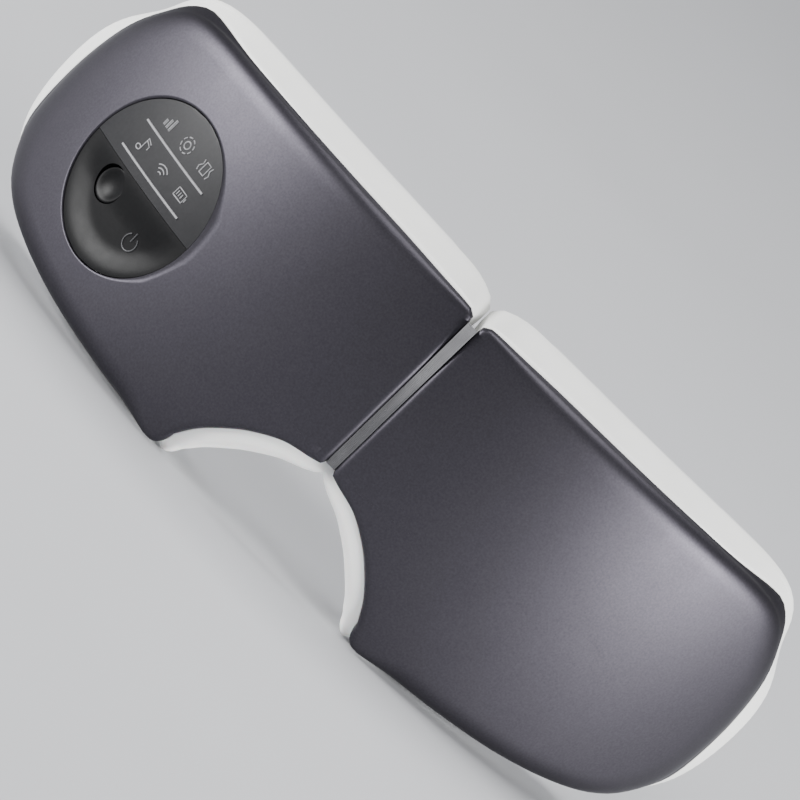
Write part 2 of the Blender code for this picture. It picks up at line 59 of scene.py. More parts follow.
# The mask's shape, in millimetres, in the frame's own axes
BASE_Z = 48.8
DEPTH_MID = 34.04
FRONT_RADIUS = 130.0
REAR_RADIUS = 145.0
POD_DEPTH = 19.0
CROWN = 3.0
MID_Z = -11.5
HALF_HEIGHT = 38.0
GAP = 0.3
FLARE_TOP = 4.6
FLARE_END = 3.0
FLARE_BOTTOM = -0.5
FLARE_FOLD = 0.6
FLARE_FOLD_TOP = 1.25
LEAST_WHITE = 4.4
PANEL_X = 73.0
PANEL_Z = -13.5
PANEL_HALF_WIDTH = 20.6
PANEL_HALF_HEIGHT = 21.4
CREASE_Z = PANEL_Z - 0.2
EYE_X = 55.0
EYE_Z = -10.0
EYE_HALF_WIDTH = 29.0
EYE_HALF_HEIGHT = 20.0
BUTTON_X = PANEL_X + 6.5
BUTTON_Z = PANEL_Z - 5.6
BUTTON_RADIUS = 4.4
TOP_RUN = [(1.4, 21.5), (1.6, 23.4), (3.2, 24.5), (12, 24.6), (30, 24.5), (53, 23.8), (73, 22.7), (86, 21.2),
           (93.5, 18.2), (98.4, 12), (102.3, 2), (104, -12), (102.8, -27), (98.8, -35.6), (93, -40.6),
           (84, -43.7), (71, -45.9), (54, -47.2), (40, -47.8), (34, -48.4)]
TIP_RUN = [(34, -48.4), (31.4, -48.1), (29.6, -46.2), (29.0, -43.2)]
ARCH_RUN = [(29.0, -43.2), (26.2, -38.2), (22, -33.4), (17.4, -29.4), (11, -25.6), (4.2, -23.7), (1.9, -22.9)]
FOLD_RUN = [(1.9, -22.9), (1.4, -21.6), (1.4, 0), (1.4, 21.5)]
RUN_COUNTS = (104, 12, 30, 18)
SIDES = ((-1, "left_", "left_half"), (1, "right_", "right_half"))


# Settings

class MaskShape(bpy.types.PropertyGroup):
    cover_wall: bpy.props.FloatProperty(name="Cover wall", description="Thickness of the front covers",
                                        default=1.7 * MM, unit="LENGTH")
    casing_wall: bpy.props.FloatProperty(name="Casing wall", description="Thickness of the rear casings",
                                         default=1.4 * MM, unit="LENGTH")
    cushion_rise: bpy.props.FloatProperty(name="Cushion rise",
                                          description="Height of the cushion above the casing",
                                          default=7.5 * MM, unit="LENGTH")
    piping: bpy.props.FloatProperty(name="Piping", description="Radius of the cushion's piped seam",
                                    default=0.75 * MM, unit="LENGTH")
    node_pitch: bpy.props.FloatProperty(name="Massage node pitch",
                                        description="Spacing of the pad's raised nodes",
                                        default=7.0 * MM, unit="LENGTH")
    node_rise: bpy.props.FloatProperty(name="Massage node rise",
                                       description="Height of the pad's raised nodes",
                                       default=0.7 * MM, unit="LENGTH")
    symbol_line: bpy.props.FloatProperty(name="Symbol line",
                                         description="Half width of the printed symbols' lines",
                                         default=0.16 * MM, unit="LENGTH")


class MaskColours(bpy.types.PropertyGroup):
    lacquer: bpy.props.StringProperty(name="Cover lacquer", description="sRGB hex of the lacquer",
                                      default="3d3b41")
    casing: bpy.props.StringProperty(name="Casing", description="sRGB hex of the white casing",
                                     default="efefec")
    rim: bpy.props.StringProperty(name="Nose rim", description="sRGB hex of the silicone", default="f2f2f0")
    leather: bpy.props.StringProperty(name="Cushion", description="sRGB hex of the leather", default="d2d2d4")
    panel: bpy.props.StringProperty(name="Panel", description="sRGB hex of the panel", default="080809")
    window: bpy.props.StringProperty(name="Icon window", description="sRGB hex of the window",
                                     default="1c1c1e")
    symbol: bpy.props.StringProperty(name="Symbols", description="sRGB hex of the print", default="8c8c8e")
    strip: bpy.props.StringProperty(name="Fold strip", description="sRGB hex of the strip", default="69696b")


def shape():
    return bpy.context.scene.mask_shape


def colours():
    return bpy.context.scene.mask_colours


# Materials

def linear(hex_colour, alpha=1.0):
    """sRGB hex to the linear colour that shaders take."""
    found = []
    for k in (0, 2, 4):
        value = int(hex_colour[k:k + 2], 16) / 255
        found.append(value / 12.92 if value <= 0.04045 else ((value + 0.055) / 1.055) ** 2.4)
    return (*found, alpha)


def add_node(material, kind, settings=None, values=None, links=None):
    """Adds a shader node, sets its properties and input values, and links inputs from (node, output)."""
    tree = material.node_tree
    node = tree.nodes.new(kind)
    for key, value in (settings or {}).items():
        setattr(node, key, value)
    for key, value in (values or {}).items():
        node.inputs[key].default_value = value
    for key, (source, output) in (links or {}).items():
        tree.links.new(source.outputs[output], node.inputs[key])
    return node


def new_finish(name, hex_colour, values):
    made = bpy.data.materials.new(name)
    made.use_nodes = True
    shader = made.node_tree.nodes["Principled BSDF"]
    shader.inputs["Base Color"].default_value = linear(hex_colour)
    for key, value in values.items():
        shader.inputs[key].default_value = value
    made.diffuse_color = linear(hex_colour)
    return made, shader


def speckle(material, shader, dark, light, pitch_mm, low=0.3, high=0.7):
    """Colour that drifts between two close shades over a pitch in millimetres."""
    place = add_node(material, "ShaderNodeTexCoord")
    noise = add_node(material, "ShaderNodeTexNoise", values={"Scale": 1000 / pitch_mm, "Detail": 3.0},
                     links={"Vector": (place, "Object")})
    ramp = add_node(material, "ShaderNodeValToRGB", links={"Fac": (noise, "Fac")})
    ramp.color_ramp.elements[0].position = low
    ramp.color_ramp.elements[1].position = high
    ramp.color_ramp.elements[0].color = linear(dark)
    ramp.color_ramp.elements[1].color = linear(light)
    material.node_tree.links.new(ramp.outputs["Color"], shader.inputs["Base Color"])
    return place


def rough_drift(material, shader, place, low, high, pitch_mm):
    noise = add_node(material, "ShaderNodeTexNoise", values={"Scale": 1000 / pitch_mm, "Detail": 2.0},
                     links={"Vector": (place, "Object")})
    spread = add_node(material, "ShaderNodeMapRange", values={"To Min": low, "To Max": high},
                      links={"Value": (noise, "Fac")})
    material.node_tree.links.new(spread.outputs["Result"], shader.inputs["Roughness"])


def grain_bump(material, shader, place, kind, pitch_mm, height_mm, output, extra=None):
    """A fine relief from a noise or cell pattern of a real pitch and height."""
    pattern = add_node(material, kind, settings=extra or {}, values={"Scale": 1000 / pitch_mm},
                       links={"Vector": (place, "Object")})
    bump = add_node(material, "ShaderNodeBump", values={"Strength": 1.0, "Distance": height_mm * MM},
                    links={"Height": (pattern, output)})
    material.node_tree.links.new(bump.outputs["Normal"], shader.inputs["Normal"])


def shade_step(hex_colour, step):
    """The same colour a few sRGB steps lighter or darker."""
    parts = [max(0, min(255, int(hex_colour[k:k + 2], 16) + step)) for k in (0, 2, 4)]
    return "".join(f"{part:02x}" for part in parts)


def finish(name):
    found = bpy.data.materials.get(name)
    return found or FINISHES[name](name)


def sprayed_gunmetal_lacquer(name):
    """Metallic lacquer sprayed on moulded ABS: broad soft highlights over a near-black ground."""
    base = colours().lacquer
    made, shader = new_finish(name, base, {"Metallic": 0.9, "Roughness": 0.44, "IOR": 1.5})
    # Flakes are about 0.05 mm; 0.5 mm is as coarse as they need to be to show.
    place = speckle(made, shader, shade_step(base, -4), shade_step(base, 4), 0.5)
    rough_drift(made, shader, place, 0.41, 0.47, 9)
    return made


def moulded_white_abs(name):
    """Satin white ABS with a fine spark-eroded grain, which softens its highlights."""
    base = colours().casing
    made, shader = new_finish(name, base, {"Roughness": 0.38, "IOR": 1.54})
    place = speckle(made, shader, shade_step(base, -3), shade_step(base, 2), 14)
    rough_drift(made, shader, place, 0.34, 0.44, 6)
    # The grain is about 0.1 mm and is drawn at 0.4 mm.
    grain_bump(made, shader, place, "ShaderNodeTexNoise", 0.4, 0.006, "Fac")
    return made


def moulded_white_silicone(name):
    """Soft liquid-moulded silicone: milky, matt, a little light passes through it."""
    base = colours().rim
    made, shader = new_finish(name, base, {"Roughness": 0.5, "IOR": 1.41, "Subsurface Weight": 0.15,
                                           "Subsurface Scale": 0.002})
    place = speckle(made, shader, shade_step(base, -4), base, 8)
    rough_drift(made, shader, place, 0.45, 0.56, 4)
    return made


def embossed_protein_leather(name):
    """Polyurethane leather on foam with a pebble grain about 0.9 mm across."""
    base = colours().leather
    made, shader = new_finish(name, base, {"Roughness": 0.55, "IOR": 1.5, "Sheen Weight": 0.15,
                                           "Sheen Roughness": 0.5})
    place = speckle(made, shader, shade_step(base, -7), shade_step(base, 3), 5)
    rough_drift(made, shader, place, 0.48, 0.62, 3)
    grain_bump(made, shader, place, "ShaderNodeTexVoronoi", 0.9, 0.05, "Distance",
               {"feature": "DISTANCE_TO_EDGE"})
    return made


def knitted_lining(name):
    """Fine knitted lining over the air bag; its loops, about 0.6 mm apart, are drawn at 0.9 mm."""
    base = shade_step(colours().leather, -30)
    made, shader = new_finish(name, base, {"Roughness": 0.85, "Sheen Weight": 0.3, "Sheen Roughness": 0.4})
    place = speckle(made, shader, shade_step(base, -10), shade_step(base, 8), 1.4)
    grain_bump(made, shader, place, "ShaderNodeTexVoronoi", 0.9, 0.12, "Distance")
    return made


def moulded_black_abs(name):
    """Black ABS from a finely textured tool: deep black with a low sheen."""
    base = colours().panel
    made, shader = new_finish(name, base, {"Roughness": 0.5, "IOR": 1.54, "Specular IOR Level": 0.12})
    place = speckle(made, shader, shade_step(base, -3), shade_step(base, 3), 0.8)
    rough_drift(made, shader, place, 0.36, 0.48, 2)
    grain_bump(made, shader, place, "ShaderNodeTexNoise", 0.35, 0.008, "Fac")
    return made


def smoked_window(name):
    """Smoked polycarbonate over the lamps: dark and smoother than the panel."""
    base = colours().window
    made, shader = new_finish(name, base, {"Roughness": 0.38, "IOR": 1.585, "Specular IOR Level": 0.15})
    place = speckle(made, shader, shade_step(base, -3), shade_step(base, 3), 0.7)
    rough_drift(made, shader, place, 0.3, 0.38, 3)
    return made


def screen_printed_ink(name):
    """Pale screen-printed ink with a slightly uneven film."""
    base = colours().symbol
    made, shader = new_finish(name, base, {"Roughness": 0.55})
    speckle(made, shader, shade_step(base, -14), shade_step(base, 6), 0.4)
    return made


def debossed_mark(name):
    """The power mark sunk in the dish, one shade lighter than the panel."""
    made, shader = new_finish(name, "38383a", {"Roughness": 0.4})
    speckle(made, shader, "303032", "3e3e40", 0.5)
    return made


def pleated_grey_silicone(name):
    """Grey silicone of the fold strip, matt and slightly dusty."""
    base = colours().strip
    made, shader = new_finish(name, base, {"Roughness": 0.6, "IOR": 1.41})
    place = speckle(made, shader, shade_step(base, -4), shade_step(base, 3), 3)
    rough_drift(made, shader, place, 0.55, 0.7, 2)
    return made


def moulded_grey_nylon(name):
    """Glass-filled grey nylon of the hinge leaves, with a faint mottled flow."""
    made, shader = new_finish(name, "6d6e72", {"Roughness": 0.5, "IOR": 1.53})
    place = speckle(made, shader, "64656a", "76777b", 1.6)
    rough_drift(made, shader, place, 0.42, 0.58, 2)
    return made


def turned_steel(name):
    """Nickel-plated turned steel: bright, with fine lathe marks that blur its highlights."""
    made, shader = new_finish(name, "b9bbbe", {"Metallic": 1.0, "Roughness": 0.28})
    place = speckle(made, shader, "aeb0b4", "c6c8ca", 0.8)
    rough_drift(made, shader, place, 0.22, 0.36, 0.6)
    return made


def green_circuit_board(name):
    """Epoxy glass board under green solder mask, mottled by the copper below."""
    made, shader = new_finish(name, "1d5a34", {"Roughness": 0.38, "IOR": 1.55})
    speckle(made, shader, "17492a", "2a7043", 2.4, 0.45, 0.55)
    return made


def amber_heating_film(name):
    """Polyimide film with etched tracks 1.5 mm apart."""
    made, shader = new_finish(name, "b9742a", {"Roughness": 0.3, "IOR": 1.7})
    speckle(made, shader, "8f5a22", "c98435", 1.5, 0.46, 0.54)
    return made


def welded_airbag_film(name):
    """Translucent blue-grey polyurethane film."""
    made, shader = new_finish(name, "8fa3b8", {"Roughness": 0.35, "IOR": 1.5})
    speckle(made, shader, "8598ad", "9cb0c4", 6)
    return made


def shrink_sleeve(name):
    """Glossy blue shrink sleeve round the cell."""
    made, shader = new_finish(name, "2f5d9c", {"Roughness": 0.25, "IOR": 1.53})
    speckle(made, shader, "2b568f", "3565a6", 4)
    return made


FINISHES = {made.__name__: made for made in (
    sprayed_gunmetal_lacquer, moulded_white_abs, moulded_white_silicone, embossed_protein_leather,
    knitted_lining, moulded_black_abs, smoked_window, screen_printed_ink, debossed_mark,
    pleated_grey_silicone, moulded_grey_nylon, turned_steel, green_circuit_board, amber_heating_film,
    welded_airbag_film, shrink_sleeve)}


# The pods' shape

def smooth(value, low, high):
    t = max(0.0, min(1.0, (value - low) / (high - low)))
    return t * t * (3 - 2 * t)


def front_y(x, z):
    """Depth of the covers' outer face."""
    return (FRONT_RADIUS - math.sqrt(FRONT_RADIUS ** 2 - x * x)
            + CROWN * ((z - MID_Z) / HALF_HEIGHT) ** 2)


def rear_y(x):
    return POD_DEPTH + REAR_RADIUS - math.sqrt(REAR_RADIUS ** 2 - x * x)


def spline(points, count):
    """Points at even spacing along a Catmull-Rom curve, without its last point."""
    fine = []
    for i in range(len(points) - 1):
        a, b, c, d = (Vector(points[max(0, min(len(points) - 1, k))]) for k in (i - 1, i, i + 1, i + 2))
        for step in range(24):
            t = step / 24
            fine.append(0.5 * (2 * b + (c - a) * t + (2 * a - 5 * b + 4 * c - d) * t * t
                               + (3 * b - a - 3 * c + d) * t ** 3))
    fine.append(Vector(points[-1]))
    lengths = [0.0]
    for p, q in zip(fine, fine[1:]):
        lengths.append(lengths[-1] + (q - p).length)
    picked = []
    k = 0
    for i in range(count):
        target = lengths[-1] * i / count
        while lengths[k + 1] < target:
            k += 1
        share = (target - lengths[k]) / (lengths[k + 1] - lengths[k])
        picked.append(fine[k].lerp(fine[k + 1], share))
    return picked


RUNS = (TOP_RUN, TIP_RUN, ARCH_RUN, FOLD_RUN)
OUTLINE = [p for run, count in zip(RUNS, RUN_COUNTS) for p in spline(run, count)]
COUNT = len(OUTLINE)
ARCH_FIRST = RUN_COUNTS[0] + RUN_COUNTS[1]
ARCH_LAST = ARCH_FIRST + RUN_COUNTS[2]
NORMALS = []
for index in range(COUNT):
    along = OUTLINE[(index + 2) % COUNT] - OUTLINE[index - 2]
    NORMALS.append(Vector((-along.y, along.x)).normalized())


def near_fold(i):
    return 1 - smooth(OUTLINE[i].x, 1.5, 9)


def in_arch(i):
    p = OUTLINE[i]
    return (1 - smooth(p.x, 28, 34)) * (1 - smooth(p.y, -24, -21))


def roll_of(i):
    """Radius of the cover's rolled edge."""
    plain = 5.0 - 3.2 * max(in_arch(i), 1 - smooth(OUTLINE[i].x, 1.5, 28))
    tip = (OUTLINE[i] - Vector((31, -47))).length
    return plain - (plain - 1.8) * (1 - smooth(tip, 3, 14))


def flare_of(i):
    n = NORMALS[i]
    if OUTLINE[i].x < 2.4 and OUTLINE[i].y > 18:
        return FLARE_FOLD_TOP
    if OUTLINE[i].x < 1.7 and abs(n.y) < 0.6:
        return FLARE_FOLD
    up = max(0.0, n.y) * (1 - near_fold(i) * 0.35)
    corner = max(math.exp(-(((OUTLINE[i] - Vector((99, 11))).length / 9) ** 2)),
                 0.5 * math.exp(-(((OUTLINE[i] - Vector((97, -37))).length / 12) ** 2)))
    return ((FLARE_TOP * up + FLARE_END * max(0.0, n.x) ** 2 * (1 - up)) * (1 - 0.95 * corner)
            + FLARE_BOTTOM * max(0.0, -n.y))


FLARES = [flare_of(i) for i in range(COUNT)]
for _ in range(3):
    FLARES = [(FLARES[i - 1] + 2 * FLARES[i] + FLARES[(i + 1) % COUNT]) / 4 for i in range(COUNT)]


def roll_start(i):
    spot = OUTLINE[i] - NORMALS[i] * roll_of(i)
    return Vector((spot.x, front_y(spot.x, spot.y), spot.y))


def roll_corner(i):
    start, n, reach = roll_start(i), NORMALS[i], 0.5
    slope = (front_y(start.x + n.x * reach, start.z + n.y * reach) - start.y) / reach
    return Vector((OUTLINE[i].x, start.y + slope * roll_of(i), OUTLINE[i].y))


ROLL_ENDS = [roll_corner(i).y + roll_of(i) * 0.8 for i in range(COUNT)]


def roll_point(i, t):
    a, b = roll_start(i), roll_corner(i)
    c = Vector((OUTLINE[i].x, ROLL_ENDS[i], OUTLINE[i].y))
    return a * (1 - t) ** 2 + b * (2 * t * (1 - t)) + c * t * t


def wall_length(i):
    return rear_y(OUTLINE[i].x) - ROLL_ENDS[i]


def wall_share_of(i):
    """How far down the side wall the dark cover reaches, from 0 to 1."""
    p = OUTLINE[i]
    upper = math.exp(-(((p - Vector((96, 16))).length / 11) ** 2))
    lower = math.exp(-(((p - Vector((96, -38))).length / 15) ** 2))
    bottom = smooth(-p.y, 30, 44) * smooth(p.x, 34, 46) * 0.1
    return min(1 - LEAST_WHITE / wall_length(i), 0.06 + 0.56 * max(upper, lower) + bottom)


SHARES = [wall_share_of(i) for i in range(COUNT)]


def rim_gap(i):
    """Half the joint between cover and casing as a share of the wall, wider where the rim runs steeply."""
    step = (OUTLINE[(i + 1) % COUNT] - OUTLINE[i - 1]).length
    slope = abs(SHARES[(i + 1) % COUNT] - SHARES[i - 1]) * wall_length(i) / step
    return (0.14 + 0.25 * slope) / wall_length(i)


def wall_point(i, share, inset=0.0):
    spot = OUTLINE[i] + NORMALS[i] * (FLARES[i] * share - inset)
    return Vector((spot.x, ROLL_ENDS[i] + wall_length(i) * share, spot.y))


def oval_edge(i, centre, wide, high):
    """The point of an oval seen from its centre towards an outline point."""
    to = OUTLINE[i] - Vector(centre)
    return Vector(centre) + to / math.sqrt((to.x / wide) ** 2 + (to.y / high) ** 2)


def behind_cover(x, z, depth):
    """A point at a depth behind the cover's face, measured square to it."""
    turn = math.asin(x / FRONT_RADIUS)
    return Vector((x - depth * math.sin(turn), front_y(x, z) + depth * math.cos(turn), z))


def placed(point, side):
    return Vector((point.x * side, point.y - DEPTH_MID, point.z + BASE_Z)) * MM


def add_piece(name, mesh, material, body, nodes=(), sharp=38):
    """Links a mesh as a piece that rides on a body and stands for CAD nodes."""
    mesh.materials.append(finish(material))
    obj = bpy.data.objects.new(name, mesh)
    bpy.context.scene.collection.objects.link(obj)
    mesh.shade_smooth()
    mesh.set_sharp_from_angle(angle=math.radians(sharp))
    if body:
        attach(obj, body)
    if nodes:
        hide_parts(*nodes)
    return obj


def skin(name, rings, side, caps=(False, False), closed=True, tube=False, look=0):
    """A mesh through rings of points. look turns an open skin so that it faces -Y or +Y."""
    bm = bmesh.new()
    rows = [[bm.verts.new(placed(p, side)) for p in ring] for ring in rings]
    pairs = list(zip(rows, rows[1:]))
    if tube:
        pairs.append((rows[-1], rows[0]))
    for low, high in pairs:
        for i in range(len(low) if closed else len(low) - 1):
            j = (i + 1) % len(low)
            bm.faces.new((low[i], low[j], high[j], high[i]))
    for wanted, row in zip(caps, (rows[0], rows[-1])):
        if wanted:
            bm.faces.new(row)
    bmesh.ops.recalc_face_normals(bm, faces=bm.faces)
    mesh = bpy.data.meshes.new(name)
    bm.to_mesh(mesh)
    bm.free()
    if look:
        total = sum(polygon.normal.y * polygon.area for polygon in mesh.polygons)
        if total * look < 0:
            mesh.flip_normals()
    return mesh


def thicken(obj, thickness):
    wall = obj.modifiers.new("wall", "SOLIDIFY")
    wall.thickness = thickness
    wall.offset = -1
    wall.use_even_offset = False


# Pieces

class Maker(bpy.types.Operator):
    bl_options = {"REGISTER", "UNDO"}

    def execute(self, context):
        self.make()
        return {"FINISHED"}


class MASK_OT_front_covers(Maker):
    """Builds the two lacquered front covers"""
    bl_idname = "eye_mask.front_covers"
    bl_label = "Front covers"

    def make(self):
        for side, prefix, body in SIDES:
            scale = 1.0 if side < 0 else 0.04
            squash = math.cos(math.asin(PANEL_X / FRONT_RADIUS))
            rings = []
            for step in range(22):
                share = step / 22
                ring = []
                for i in range(COUNT):
                    inner = oval_edge(i, (PANEL_X, PANEL_Z), PANEL_HALF_WIDTH * squash * scale,
                                      PANEL_HALF_HEIGHT * scale)
                    start = roll_start(i)
                    spot = inner.lerp(Vector((start.x, start.z)), share)
                    ring.append(Vector((spot.x, front_y(spot.x, spot.y), spot.y)))
                rings.append(ring)
            rings += [[roll_point(i, t / 8) for i in range(COUNT)] for t in range(9)]
            for part in (0.34, 0.67, 1.0):
                rings.append([wall_point(i, (SHARES[i] - rim_gap(i)) * part) for i in range(COUNT)])
            mesh = skin(prefix + "front_cover_shell", rings, side, caps=(side > 0, False), look=-1)
            obj = add_piece(prefix + "front_cover_shell", mesh, "sprayed_gunmetal_lacquer", body,
                            [prefix + "front_cover"], sharp=50)
            thicken(obj, shape().cover_wall)


class MASK_OT_rear_casings(Maker):
    """Builds the two white rear casings"""
    bl_idname = "eye_mask.rear_casings"
    bl_label = "Rear casings"

    def make(self):
        for side, prefix, body in SIDES:
            start = [min(0.93, SHARES[i] + rim_gap(i)) for i in range(COUNT)]
            rings = []
            for part in (0, 0.15, 0.35, 0.6, 0.8, 0.93):
                rings.append([wall_point(i, start[i] + (0.975 - start[i]) * part) for i in range(COUNT)])
            rings.append([wall_point(i, 0.985, inset=0.12) for i in range(COUNT)])
            rings.append([wall_point(i, 0.996, inset=0.45) for i in range(COUNT)])
            rear = [wall_point(i, 1, inset=0.95) for i in range(COUNT)]
            rings.append(rear)
            for share in (0.15, 0.3, 0.45, 0.6, 0.8, 1.0):
                ring = []
                for i in range(COUNT):
                    eye = oval_edge(i, (EYE_X, EYE_Z), EYE_HALF_WIDTH, EYE_HALF_HEIGHT)
                    spot = Vector((rear[i].x, rear[i].z)).lerp(eye, share)
                    ring.append(Vector((spot.x, rear_y(spot.x), spot.y)))
                rings.append(ring)
            mesh = skin(prefix + "rear_casing_shell", rings, side, look=1)
            obj = add_piece(prefix + "rear_casing_shell", mesh, "moulded_white_abs", body,
                            [prefix + "rear_casing"], sharp=50)
            thicken(obj, shape().casing_wall)


def cushion_edges():
    """Outer and inner outline of the eye cushion, seen from behind."""
    outer, inner = [], []
    for i in range(COUNT):
        edge = wall_point(i, 1, inset=1.0 + 11.5 * smooth(OUTLINE[i].x, 90, 99) + 5.0 * near_fold(i))
        outer.append(Vector((max(edge.x, 13.0), edge.z)))
        inner.append(oval_edge(i, (EYE_X, EYE_Z), EYE_HALF_WIDTH * 0.93, EYE_HALF_HEIGHT * 0.93))
    for _ in range(6):
        outer = [(outer[i - 1] + 2 * outer[i] + outer[(i + 1) % COUNT]) / 4 for i in range(COUNT)]
    return outer, inner


def rise_at(x):
    return shape().cushion_rise / MM * smooth(x, 5, 26) * (1 - 0.45 * smooth(x, 84, 98)) + 1.2


class MASK_OT_eye_cushions(Maker):
    """Builds the padded rings round the eyes with their piped seams"""
    bl_idname = "eye_mask.eye_cushions"
    bl_label = "Eye cushions"

    def make(self):
        outer, inner = cushion_edges()
        profile = [(0.0, 0.0), (0.0, 0.22), (0.012, 0.5), (0.045, 0.74), (0.11, 0.9), (0.2, 0.98),
                   (0.32, 1.0), (0.46, 0.995), (0.6, 0.97), (0.73, 0.9), (0.84, 0.76), (0.93, 0.55),
                   (0.985, 0.3), (1.0, 0.0)]
        for side, prefix, body in SIDES:
            rings = []
            for share, height in profile:
                ring = []
                for i in range(COUNT):
                    spot = outer[i].lerp(inner[i], share)
                    turn = 2 * math.pi * i / COUNT
                    # Shallow puckers where the cover is drawn over the foam at both seams.
                    pull = 0.16 * math.sin(turn * 31 + 2 * math.sin(turn * 5)) * (share - 0.45) ** 2 * 4
                    rise = rise_at(spot.x) * height
                    depth = rear_y(spot.x) + GAP + rise + pull * min(1, height * 2)
                    ring.append(Vector((spot.x, depth, spot.y)))
                rings.append(ring)
            mesh = skin(prefix + "eye_cushion", rings, side, tube=True)
            obj = add_piece(prefix + "eye_cushion", mesh, "embossed_protein_leather", body,
                            [prefix + "face_cushion"], sharp=70)
            self.piping(side, prefix, body, outer)

    def piping(self, side, prefix, body, outer):
        radius = shape().piping / MM
        rings = []
        for i in range(COUNT):
            ahead = outer[(i + 1) % COUNT] - outer[i - 1]
            n = Vector((-ahead.y, ahead.x)).normalized()
            spot = outer[i] + n * 0.1
            ring = []
            for k in range(10):
                angle = 2 * math.pi * k / 10
                x = spot.x + n.x * radius * math.cos(angle)
                ring.append(Vector((x, rear_y(spot.x) + 0.15 + radius * (1 + math.sin(angle)),
                                    spot.y + n.y * radius * math.cos(angle))))
            rings.append(ring)
        mesh = skin(prefix + "cushion_piping", rings, side, tube=True)
        add_piece(prefix + "cushion_piping", mesh, "embossed_protein_leather", body,
                  sharp=180)


class MASK_OT_massage_pads(Maker):
    """Builds the lined pads over the air bags with their raised massage nodes"""
    bl_idname = "eye_mask.massage_pads"
    bl_label = "Massage pads"

    def make(self):
        pitch, rise = shape().node_pitch / MM, shape().node_rise / MM
        for side, prefix, body in SIDES:
            rings = []
            for share in [k / 30 for k in range(1, 31)] + [1.0]:
                back = share == 1.0 and len(rings) == 30
                ring = []
                for k in range(144):
                    angle = 2 * math.pi * k / 144
                    x = EYE_X + EYE_HALF_WIDTH * 0.91 * share * math.cos(angle)
                    z = EYE_Z + EYE_HALF_HEIGHT * 0.91 * share * math.sin(angle)
                    row = round((z - EYE_Z) / (pitch * 0.866))
                    column = round((x - EYE_X) / pitch - 0.5 * (row % 2)) + 0.5 * (row % 2)
                    away = math.hypot(x - EYE_X - column * pitch, z - EYE_Z - row * pitch * 0.866)
                    bump = rise * (1 - smooth(away, 0.6, 2.4)) * (1 - smooth(share, 0.78, 0.88))
                    depth = 0.9 + bump + 1.6 * (1 - share * share) + 0.8 * (1 - smooth(share, 0.93, 1.0))
                    ring.append(Vector((x, rear_y(x) + (-0.2 if back else depth), z)))
                rings.append(ring)
            mesh = skin(prefix + "massage_lining", rings, side, caps=(True, True))
            obj = add_piece(prefix + "massage_lining", mesh, "knitted_lining", body,
                            [prefix + "massage_pad"], sharp=70)


class MASK_OT_nose_rims(Maker):
    """Builds the soft white lips along the nose arch"""
    bl_idname = "eye_mask.nose_rims"
    bl_label = "Nose rims"

    def make(self):
        first, last = ARCH_FIRST - 6, ARCH_LAST + 1
        for side, prefix, body in SIDES:
            rings = []
            for i in range(first, last + 1):
                travel = (i - first) / (last - first)
                fade = max(0.03, math.sin(math.pi * min(1, 0.02 + 0.96 * travel))) ** 0.3
                base = wall_point(i, SHARES[i] + 0.02)
                ring = []
                for k in range(17):
                    angle = math.pi * k / 16
                    spot = OUTLINE[i] + NORMALS[i] * (0.15 + 5.0 * fade * math.sin(angle) ** 0.42)
                    depth = base.y - 1.3 + 9.0 * (0.5 - 0.5 * fade * math.cos(angle))
                    ring.append(Vector((spot.x, depth, spot.y)))
                rings.append(ring)
            mesh = skin(prefix + "nose_lip", rings, side, caps=(True, True))
            add_piece(prefix + "nose_lip", mesh, "moulded_white_silicone", body,
                      [prefix + "nose_rim"], sharp=60)


class MASK_OT_fold_strip(Maker):
    """Builds the pleated strip that closes the fold between the two halves"""
    bl_idname = "eye_mask.fold_strip"
    bl_label = "Fold strip"

    def make(self):
        pleats, half, low_z, high_z = 7, 1.28, -21.8, 22.6
        pitch, crest, front, valley = 2 * half / pleats, 0.29, 1.3, 4.4
        section = [(-half - 0.1, 3.0)]
        for k in range(pleats):
            middle = -half + pitch * (k + 0.5)
            section += [(middle - crest / 2, front), (middle + crest / 2, front)]
            if k < pleats - 1:
                section.append((middle + pitch / 2, valley))
        section.append((half + 0.1, 3.0))
        dense = []
        for (x0, y0), (x1, y1) in zip(section, section[1:]):
            dense += [(x0 + (x1 - x0) * t / 4, y0 + (y1 - y0) * t / 4) for t in range(4)]
        dense.append(section[-1])
        rings = [[Vector((x, y, low_z + (high_z - low_z) * k / 12)) for x, y in dense] for k in range(13)]
        mesh = skin("fold_bellows", rings, 1, closed=False, look=-1)
        obj = add_piece("fold_bellows", mesh, "pleated_grey_silicone", None,
                        ["fold_strip"], sharp=80)
        wall = obj.modifiers.new("wall", "SOLIDIFY")
        wall.thickness = 0.06 * MM
        wall.offset = 0
        depsgraph = bpy.context.evaluated_depsgraph_get()
        solid = bpy.data.meshes.new_from_object(obj.evaluated_get(depsgraph))
        obj.modifiers.clear()
        obj.data = solid
        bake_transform(obj)


def panel_depth(x, z):
    """How far the panel's face lies behind the cover's: a step for the icon window, then a dish."""
    if z > CREASE_Z:
        return 1.25
    fall = smooth(CREASE_Z - z, 0, 9)
    rim = smooth(math.hypot((x - PANEL_X) / 0.83, z - PANEL_Z), 14, 20.5)
    return 0.35 + 1.1 * fall * (1 - rim)


def panel_spot(right, up, depth):
    """A point of the panel at a distance right of and above its centre, seen from the front."""
    return behind_cover(PANEL_X - right * math.cos(math.asin(PANEL_X / FRONT_RADIUS)), PANEL_Z + up, depth)


